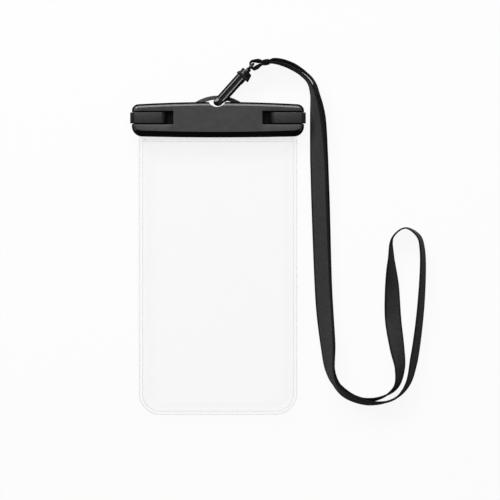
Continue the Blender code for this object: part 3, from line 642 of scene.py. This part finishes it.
def makeFrontBar():
    level = clamp["seatZ"] + front["wall"]
    made = barBlank("frontBar", clamp["seatZ"], level)
    rings = [level]
    for inset, rise in (front["roundOne"], front["roundTwo"], front["slope"]):
        startEdit(made, "FACE")
        endEdit()
        for face in made.data.polygons:
            face.select = face.normal.z > 0.9 and face.center.z > rings[-1] - 0.0001
        bpy.ops.object.mode_set(mode="EDIT")
        bpy.ops.mesh.inset(thickness=inset, depth=0)
        bpy.ops.transform.translate(value=(0, 0, rise))
        endEdit()
        rings.append(rings[-1] + rise)
    # the lower edge rolls over further than the upper one
    for vertex in made.data.vertices:
        low = max(0.0, min(1.0, (middleY - vertex.co.y) / (middleY - clamp["foot"]))) ** 2
        if abs(vertex.co.z - rings[3]) < 1e-5:
            out = (vertex.co.x / clamp["half"]) ** 2
            vertex.co.y += (front["footShift"] + front["footBend"] * out) * low
        elif vertex.co.z > clamp["seatZ"] + 0.001:
            vertex.co.z -= front["footDrop"] * low
            if abs(vertex.co.z + front["footDrop"] * low - rings[2]) < 1e-5:
                vertex.co.y += front["footShift"] * front["footShare"] * low
    notchY = clamp["top"] - front["notchDepth"] + front["notchRadius"]
    ends = [(front["notchX"], notchY, z) for z in (0, past["above"])]
    cutOrJoin(made, addRound("notchCutter", *ends, front["notchRadius"], sides=96))
    reach = front["bedHalf"]
    for side in (-1, 1):
        cutOrJoin(made, endCutter(side, front["bedEnd"], reach, front["bedZ"]))
        cutOrJoin(made, endCutter(side, front["armX"], reach))
    top = rings[3]

    def onLip(a, b):
        # whether an edge lies on the rim of a recess
        if abs(a.z - top) > 1e-5 or abs(b.z - top) > 1e-5:
            return False
        across = [abs(p.y - clamp["latchY"]) for p in (a, b)]
        out = [abs(p.x) - front["bedEnd"] for p in (a, b)]
        long = all(abs(d - reach) < 1e-5 for d in across) and min(out) > -1e-5
        end = all(abs(d) < 1e-5 for d in out) and max(across) < reach + 1e-5
        return long or end

    bevelEdges(made, front["lip"], 2, onLip)

    def chooseFinish(face):
        # painted shade: the foot roll, which faces away from the lamps, and the recesses take a near-black
        # finish, and the rim a near-black finish without shine; painted highlight: the bevel facing the lamps
        # takes a lighter finish; the face has the grain
        c, n = face.center, face.normal
        onBed = abs(c.z - front["bedZ"]) < 1e-4
        inRecess = abs(c.y - clamp["latchY"]) < reach + 1e-4 and abs(c.x) < front["wallX"]
        foot = n.y < -0.35 and c.y < clamp["foot"] + front["paintedFootShadeBand"]
        if foot or onBed or inRecess and c.z < top - front["wallDrop"]:
            return 1
        if c.z < rings[2] - 0.00005:
            return 3
        takesPaintedHighlight = n.y > 0.3 and rings[2] - 0.0001 < c.z < top + 0.0001
        return 2 if takesPaintedHighlight and c.y > clamp["top"] - front["paintedBevelHighlightBand"] else 0

    giveLooks(made, (clampBlack, blackAndPaintedShade, paintedHighlightBlack, paintedShadeRimBlack), chooseFinish)
    shadeByAngle(made, 24)
    return made


frontBar = makeFrontBar()
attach(frontBar, "case")
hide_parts("front_bar")
print("front bar made")


back = {
    "thick": 0.005, "rim": 0.0008, "rimBand": 0.0017, "endBand": 0.0045, "slotX": 0.0503, "slotHalf": 0.0038,
    "pinBore": 0.0009, "boreReach": 0.0065, "grooveY": (0.0778, 0.0802), "grooveX": 0.0513, "grooveZ": 0.0037,
    "notchRadius": 0.00788, "notchY": 0.10048}
arch = {
    "outerY": 0.07455, "outer": 0.0272, "innerY": 0.0773, "inner": 0.0220, "halfSpan": 0.0150,
    "footY": 0.0926, "low": 0.0042, "high": 0.0064, "round": 0.00055}


def isRim(point):
    # whether a point lies on the outline of a bar, away from the cuts across it
    inside = abs(point.y - middleY) < (clamp["top"] - clamp["foot"]) / 2 - back["rimBand"]
    return not inside or abs(point.x) >= clamp["half"] - back["endBand"]


def pinCutter(side, reach, centreY):
    ends = [(side * clamp["pinX"], centreY + e, clamp["pinZ"]) for e in (-reach, reach)]
    return addRound("boreCutter", *ends, back["pinBore"], sides=32)


def makeBackBar():
    made = barBlank("backBar", 0, back["thick"])
    bevelEdges(made, back["rim"], 3, lambda a, b: max(a.z, b.z) < 1e-6 and isRim(a) and isRim(b))
    for side in (-1, 1):
        cutOrJoin(made, endCutter(side, back["slotX"], back["slotHalf"]))
        cutOrJoin(made, pinCutter(side, back["boreReach"], clamp["pinY"]))
    (lowY, highY), outX = back["grooveY"], back["grooveX"]
    cutOrJoin(made, addBox("grooveCutter", (-outX, lowY, back["grooveZ"]), (outX, highY, past["above"])))
    ends = [(0, back["notchY"], past[way]) for way in ("below", "above")]
    cutOrJoin(made, addRound("notchCutter", *ends, back["notchRadius"], sides=96))
    shadeByAngle(made, 30)
    return made


def makeArch():
    turn = math.degrees(math.asin(arch["halfSpan"] / arch["outer"]))
    outline = arcPoints(0, arch["outerY"], arch["outer"], 90 - turn, 90 + turn, 40)
    outline += [(-arch["halfSpan"], arch["footY"]), (arch["halfSpan"], arch["footY"])]
    outline = [(x, y, arch["low"]) for x, y in outline]
    made = traceOutline("eyeletArch", outline, (0, 0, arch["high"] - arch["low"]))
    turn = math.degrees(math.acos((clamp["top"] - arch["innerY"]) / arch["inner"]))
    hole = arcPoints(0, arch["innerY"], arch["inner"], 90 - turn, 90 + turn, 36)
    turn = math.degrees(math.acos((back["notchY"] - clamp["top"]) / back["notchRadius"]))
    hole += arcPoints(0, back["notchY"], back["notchRadius"], 270 - turn, 270 + turn, 24)
    hole = [(x, y, past["below"]) for x, y in hole]
    cutOrJoin(made, traceOutline("holeCutter", hole, (0, 0, past["above"])))
    softenEdges(made, arch["round"], 3, 50)
    # painted shade: the sides take the near-black finish without shine, the flat faces the grained one
    giveLooks(made, (clampBlack, paintedShadeRimBlack), lambda face: 0 if abs(face.normal.z) > 0.9 else 1)
    shadeByAngle(made, 40)
    return made


backBar = makeBackBar()
eyelet = makeArch()
giveFinish(backBar, backBlack, "case")
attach(eyelet, "case")
for piece in (backBar, eyelet):
    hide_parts("back_bar")
print("back bar and eyelet made")

lever = {
    "reach": 0.0208, "top": 0.0128, "under": 0.0102, "shoulder": 0.0018, "barrel": 0.0026, "arm": 0.0002,
    "half": 0.0034, "crease": 0.0033, "tipEdge": 0.0007, "edge": 0.0004, "groove": (-0.0001, 0.0005, 0.0006),
    "armRound": 0.0004, "tipRound": 0.0006, "satinStep": 0.0002, "boreReach": 0.01}


def makeLever(name, side):
    # traced about the pin, with the lever towards the middle of the clamp
    reach, top, under, crease = lever["reach"], lever["top"], lever["under"], lever["crease"]
    # a finger slope, steeper towards the tip
    outline = [(reach, under + lever["tipEdge"])]
    for share in (0.25, 0.5, 0.75):
        fall = (top - under - lever["tipEdge"]) * (1 - share) ** 1.5
        outline.append((reach - crease * share, top - fall))
    outline.append((reach - crease, top))
    # the line where the knuckle meets the lever
    start, width, depth = lever["groove"]
    outline += [(start, top), (start, top - depth), (start - width, top - depth), (start - width, top)]
    bend = lever["shoulder"]
    outline += arcPoints(bend - lever["barrel"], top - bend, bend, 90, 180, 8)
    outline += arcPoints(0, clamp["pinZ"], lever["barrel"], 180, 444, 30)
    arm, armRound = lever["arm"], lever["armRound"]
    outline += [(arm, under - armRound), (arm + armRound, under), (reach - lever["tipRound"], under)]
    points = [(side * (clamp["pinX"] - u), clamp["latchY"] - lever["half"], z) for u, z in outline]
    made = traceOutline(name, points, (0, 2 * lever["half"], 0))
    softenEdges(made, lever["edge"], 3, 50)
    cutOrJoin(made, pinCutter(side, lever["boreReach"], clamp["latchY"]))

    def chooseFinish(face):
        # the face is satin; as painted highlight its upper edge takes a lighter finish, and as painted shade
        # the finger slope and the knuckle take darker ones, darkest on the tip half of the slope
        along = clamp["pinX"] - abs(face.center.x)
        if along > reach - crease / 2:
            return 3
        if along > reach - crease + lever["satinStep"] or along < 0:
            return 2
        return 1 if face.normal.y > 0.2 and face.normal.z > 0.2 else 0

    giveLooks(made, (leverBlack, paintedHighlightBlack, paintedShadeTipBlack, blackAndPaintedShade), chooseFinish)
    shadeByAngle(made, 28)
    return made


for name, side in (("left", -1), ("right", 1)):
    piece = makeLever(name + "Lever", side)
    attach(piece, name + "_lever")
    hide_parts("latch_" + name)
print("levers made")


def melt(piece, size, rounds):
    # one skin over joined solids, with every edge a little rounded, as a moulding has
    step = piece.modifiers.new("skin", "REMESH")
    step.mode = "VOXEL"
    step.voxel_size = size
    step = piece.modifiers.new("relax", "SMOOTH")
    step.factor = 0.5
    step.iterations = rounds
    applyModifiers(piece)
    pickOnly(piece)
    bpy.ops.object.shade_smooth()


def gatePinCutter():
    ends = [(gate["pivotX"], reach, gate["pivotZ"]) for reach in (-gate["pinReach"], gate["pinReach"])]
    return addRound("pinCutter", *ends, gate["pinRadius"], sides=24)


def makeHook():
    half, wide, throat, bend = hook["half"], hook["width"] / 2, hook["throat"], hook["noseRound"]
    top, low = half - hook["spine"], hook["tip"] - half
    outline = [(hook["neckEnd"], half)]
    outline += arcPoints(bend, half - bend, bend, 90, 180, 10)
    outline += arcPoints(bend, bend - half, bend, 180, 270, 10)
    outline += [(hook["tipLength"], -half), (hook["tipLength"], low)]
    inside = hook["wall"] + throat
    outline += arcPoints(inside, low + throat, throat, 270, 180, 6)
    outline += arcPoints(inside, top - throat, throat, 180, 90, 6)
    start, cheek, foot = hook["neckStart"], hook["neckCheek"], hook["neckFoot"]
    outline += [(start - throat, top), (start, top - throat), (start, hook["neckLow"]),
                (cheek, hook["neckLow"]), (cheek, foot), (hook["neckEnd"], foot)]
    made = traceOutline("hookBody", [(x, -wide, z) for x, z in outline], (0, 2 * wide, 0))
    end, out = hook["planEnd"], wide + hook["planClear"]
    plan = [(x, y, past["below"]) for x, y in ((end, -out), *hook["nosePlan"], (end, out))]
    cutOrJoin(made, traceOutline("planCutter", plan, (0, 0, -2 * past["below"])), "INTERSECT")
    # the channel along the spine, then the sloping outer shoulders
    for start, run, section in hook["cuts"]:
        points = [(start, y, half + z) for y, z in section]
        cutOrJoin(made, traceOutline("ridgeCutter", points, (run, 0, 0)))
    for start, end, one, two in hook["collar"]:
        cutOrJoin(made, addRound("collar", (start, 0, 0), (end, 0, 0), one, two), "UNION")
    cutOrJoin(made, addRound("boreCutter", *hook["bore"]))
    cutOrJoin(made, addBox("slotCutter", *hook["slot"]))
    cutOrJoin(made, addRound("springCutter", *hook["springHole"], sides=32))
    cutOrJoin(made, gatePinCutter())
    melt(made, hook["grain"], hook["relax"])

    def chooseFinish(face):
        # painted shade: the flanks take the near-black finish without shine
        along, left, _ = face.center
        edge = hook["rimLeft"] if along > hook["noseEnd"] else hook["noseLeft"]
        return 1 if along < hook["rimEnd"] and (left > edge or left < hook["rimRight"]) else 0

    giveLooks(made, (hookBlack, paintedShadeRimBlack), chooseFinish)
    putAt(made, hookPlace)
    return made


def makeGate():
    low, high = gate["outer"], gate["inner"]
    made = addBox("hookGate", (gate["start"], -gate["half"], low), (gate["barEnd"], gate["half"], high))
    # small ribs across the bar's inner face
    count = int((gate["barEnd"] - gate["start"]) / gate["ribs"])
    ribs = addBox("ribCutter", (gate["start"] + gate["ribStart"], -gate["ribHalf"], high - gate["ribDepth"]),
                  (gate["start"] + gate["ribEnd"], gate["ribHalf"], 0))
    step = ribs.modifiers.new("row", "ARRAY")
    step.count = count - 1
    step.use_relative_offset = False
    step.use_constant_offset = True
    step.constant_offset_displace = (gate["ribs"], 0, 0)
    applyModifiers(ribs)
    cutOrJoin(made, ribs)
    tab, root, step = gate["tabEnd"], gate["root"], gate["tabStep"]
    edge = low - gate["tabEdge"]
    along, rise = gate["rootRise"]
    outline = [(gate["start"], low), (gate["pivotX"] + root, low), (tab - gate["tabThick"], low - step),
               (tab - step, gate["tabLow"]), (tab, gate["tabLow"]), (tab, edge),
               (gate["pivotX"] + root + along, low + rise)]
    outline += arcPoints(gate["pivotX"], gate["pivotZ"], root, 0, 110, 10)
    outline += [(gate["barEnd"], high), (gate["start"], high - gate["tipDrop"])]
    points = [(x, -gate["rootHalf"], z) for x, z in outline]
    cutOrJoin(made, traceOutline("gateRoot", points, (0, 2 * gate["rootHalf"], 0)), "UNION")
    corner = (tab - gate["tabThick"], -gate["half"], gate["tabLow"])
    cutOrJoin(made, addBox("thumbTab", corner, (tab, gate["half"], edge)), "UNION")
    ear = [(x, y, low - gate["earDrop"]) for x, y in gate["ear"]]
    cutOrJoin(made, traceOutline("tabEar", ear, (0, 0, gate["earThick"])), "UNION")
    cutOrJoin(made, gatePinCutter())
    softenEdges(made, gate["edge"], 1, 60)
    shadeByAngle(made, 30)
    putAt(made, hookPlace)
    return made


def makeEye():
    # a ring drawn out into a long link, on a stem that turns in the collar
    bpy.ops.object.select_all(action="DESELECT")
    radius = (swivel["far"] - swivel["near"]) / 2
    bpy.ops.mesh.primitive_torus_add(major_segments=48, minor_segments=16, major_radius=radius,
                                     minor_radius=swivel["wire"], rotation=(math.pi / 2, 0, 0))
    made = bpy.context.object
    made.name = "swivelEye"
    settle(made)
    for up in (-1, 1):
        startEdit(made)
        endEdit()
        for vertex in made.data.vertices:
            vertex.select = vertex.co.z * up > 1e-6
        bpy.ops.object.mode_set(mode="EDIT")
        bpy.ops.transform.translate(value=(0, 0, up * (swivel["high"] - radius)))
        endEdit()
    made.location = ((swivel["far"] + swivel["near"]) / 2, 0, 0)
    settle(made)
    end = (swivel["near"] + swivel["stemInto"], 0, 0)
    cutOrJoin(made, addRound("eyeStem", (swivel["stemStart"], 0, 0), end, swivel["stem"]), "UNION")
    cutOrJoin(made, addRound("eyeBoss", *swivel["boss"]), "UNION")
    cutOrJoin(made, addRound("eyeHead", *swivel["head"]), "UNION")
    shadeByAngle(made, 50)
    putAt(made, eyePlace)
    return made


hookBody = makeHook()
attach(hookBody, "hook")
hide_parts("hook_body")
hookGate = makeGate()
giveFinish(hookGate, blackAndPaintedShade, "gate")
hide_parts("hook_gate")
eyeLink = makeEye()
giveFinish(eyeLink, hookBlack, "case")
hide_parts("swivel_eye")
print("hook made")

crimp = {
    "half": 0.002, "outY": 0.0018, "inY": 0.00145, "outZ": 0.0058, "inZ": 0.0053, "round": 0.0003,
    "dent": 0.00045, "dentX": 0.0010, "dentOut": 0.00025, "dentReach": 0.007}


def makeClip():
    low = (-crimp["half"], -crimp["outY"], -crimp["outZ"])
    made = addBox("strapClip", low, (crimp["half"], crimp["outY"], crimp["outZ"]))
    softenEdges(made, crimp["round"], 3)
    beyond = 2 * crimp["half"]
    low = (-beyond, -crimp["inY"], -crimp["inZ"])
    cutOrJoin(made, addBox("roomCutter", low, (beyond, crimp["inY"], crimp["inZ"])))
    for side in (-1, 1):
        for along in (-crimp["dentX"], crimp["dentX"]):
            y = side * (crimp["outY"] + crimp["dentOut"])
            ends = [(along, y, z) for z in (-crimp["dentReach"], crimp["dentReach"])]
            cutOrJoin(made, addRound("dentCutter", *ends, crimp["dent"], sides=24))
    putAt(made, clipPlace)
    shadeByAngle(made, 35)
    return made


strapClip = makeClip()
giveFinish(strapClip, blackAndPaintedShade, "case")
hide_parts("strap_clip")
print("clip made")

pouch = {
    "half": 0.0504, "low": -0.1015, "high": 0.0905, "corner": 0.0135, "topCorner": 0.0006, "weld": 0.0025,
    "mouth": 0.0746, "mouthCorner": 0.003, "flank": 0.008, "sheet": 0.0004, "frontWeld": 0.0064,
    "frontFull": 0.0106, "backWeld": 0.0053, "backFull": 0.0, "leastCorner": 0.0008, "cornerShrink": 0.3,
    "cornerSteps": 12, "endSteps": 22, "sideSteps": 44,
    "insets": (0, 0.0008, 0.0016, 0.0025, 0.0035, 0.0045, 0.0055, 0.0065, 0.0073, 0.008, 0.012, 0.02, 0.03,
               0.04)}


def roundedRing(half, low, high, lowCorner, highCorner):
    # evenly walked rounded rectangle, anticlockwise from the left end of its lower side
    ring = []
    for x, y, radius, start in ((half - lowCorner, low + lowCorner, lowCorner, -90),
                                (half - highCorner, high - highCorner, highCorner, 0),
                                (-half + highCorner, high - highCorner, highCorner, 90),
                                (-half + lowCorner, low + lowCorner, lowCorner, 180)):
        ring.append(arcPoints(x, y, radius, start, start + 90, pouch["cornerSteps"]))
    walked = []
    for i, bend in enumerate(ring):
        ahead = ring[(i + 1) % 4][0]
        walked += bend
        count = pouch["endSteps"] if i % 2 else pouch["sideSteps"]
        walked += [(bend[-1][0] + (ahead[0] - bend[-1][0]) * k / count,
                    bend[-1][1] + (ahead[1] - bend[-1][1]) * k / count) for k in range(1, count)]
    return walked


def insideRing(inset):
    half = pouch["half"] - pouch["weld"] - inset
    low = pouch["low"] + pouch["weld"] + inset
    lowCorner = max(pouch["corner"] - pouch["weld"] - inset, pouch["leastCorner"])
    highCorner = max(pouch["mouthCorner"] - inset * pouch["cornerShrink"], pouch["leastCorner"])
    return roundedRing(half, low, pouch["mouth"] - inset, lowCorner, highCorner)


def levelAt(inset, weldLevel, fullLevel):
    # how high a sheet stands at a distance in from its weld
    share = min(inset / pouch["flank"], 1.0)
    return weldLevel + (fullLevel - weldLevel) * math.sin(share * math.pi / 2) ** 2


def makeFilm(name, weldLevel, fullLevel):
    border = roundedRing(pouch["half"], pouch["low"], pouch["high"], pouch["corner"], pouch["topCorner"])
    rings = [[(x, y, weldLevel) for x, y in border]]
    for inset in pouch["insets"]:
        rings.append([(x, y, levelAt(inset, weldLevel, fullLevel)) for x, y in insideRing(inset)])
    count = len(border)
    faces = ringFaces(len(rings), count)
    faces.append(tuple((len(rings) - 1) * count + j for j in range(count)))
    if fullLevel < weldLevel:
        faces = [tuple(reversed(face)) for face in faces]
    made = addMesh(name, [point for ring in rings for point in ring], faces)
    wall = made.modifiers.new("thickness", "SOLIDIFY")
    wall.thickness = pouch["sheet"]
    wall.offset = -1
    applyModifiers(made)
    shadeByAngle(made, 50)
    return made


frontFilm = makeFilm("frontFilm", pouch["frontWeld"], pouch["frontFull"])
backFilm = makeFilm("backFilm", pouch["backWeld"], pouch["backFull"])
for piece, node in ((frontFilm, "pouch_front_film"), (backFilm, "pouch_back_film")):
    giveFinish(piece, filmClear, "case")
    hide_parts(node)

seam = {
    "outer": 0.00022, "inner": 0.0002, "line": 0.00013, "lines": (0.0741, 0.0726), "lineHalf": 0.0482,
    "edge": 0.0003, "below": 0.0012, "sides": 6, "steps": 20}


def makeBead(name, points, radius):
    # a fine round bead that lies on the film
    verts, sides, count = [], seam["sides"], len(points)
    for i, point in enumerate(points):
        along = Vector(points[min(i + 1, count - 1)]) - Vector(points[max(i - 1, 0)])
        across = along.normalized().cross(Vector((0, 0, 1)))
        for j in range(sides):
            turn = 2 * math.pi * j / sides
            rise = Vector((0, 0, radius * math.sin(turn)))
            verts.append(Vector(point) + across * radius * math.cos(turn) + rise)
    made = addMesh(name, verts, ringFaces(count, sides) + endFaces(count, sides))
    faceOut(made)
    pickOnly(made)
    bpy.ops.object.shade_smooth()
    giveFinish(made, weldGrey, "case")


def belowClamp(ring, limit):
    # the run of a ring that shows below the clamp
    start = next(i for i in range(len(ring)) if ring[i - 1][1] <= limit < ring[i][1])
    turned = ring[start:] + ring[:start]
    return [point for point in turned if point[1] <= limit]


edgeRing = roundedRing(pouch["half"] - seam["edge"], pouch["low"] + seam["edge"], pouch["high"],
                       pouch["corner"], pouch["topCorner"])
weldRing = insideRing(0.0)
for name, ring, radius in (("outerSeam", edgeRing, seam["outer"]), ("innerSeam", weldRing, seam["inner"])):
    run = belowClamp(ring, clamp["foot"] - seam["below"])
    makeBead(name, [(x, y, pouch["frontWeld"]) for x, y in run], radius)
levels = pouch["frontWeld"], pouch["frontFull"]
for i, y in enumerate(seam["lines"]):
    run = []
    for k in range(2 * seam["steps"] + 1):
        x = seam["lineHalf"] * (k / seam["steps"] - 1)
        fromSide = max(pouch["half"] - pouch["weld"] - abs(x), 0)
        run.append((x, y, min(levelAt(pouch["mouth"] - y, *levels), levelAt(fromSide, *levels))))
    makeBead(f"mouthLine{i + 1}", run, seam["line"])
print("pouch made")

for material, nodes in (
        (sealGrey, ("seal_gasket",)), (backBlack, ("back_bar",)), (leverBlack, ("latch_left", "latch_right")),
        (pinSteel, ("latch_pin_left", "latch_pin_right", "gate_pin", "gate_spring")),
        (hookBlack, ("hook_body", "hook_gate", "swivel_eye", "strap_clip")),
        (filmClear, ("pouch_front_film", "pouch_back_film"))):
    for node in nodes:
        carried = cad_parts[node]
        carried.data.materials.clear()
        carried.data.materials.append(material)
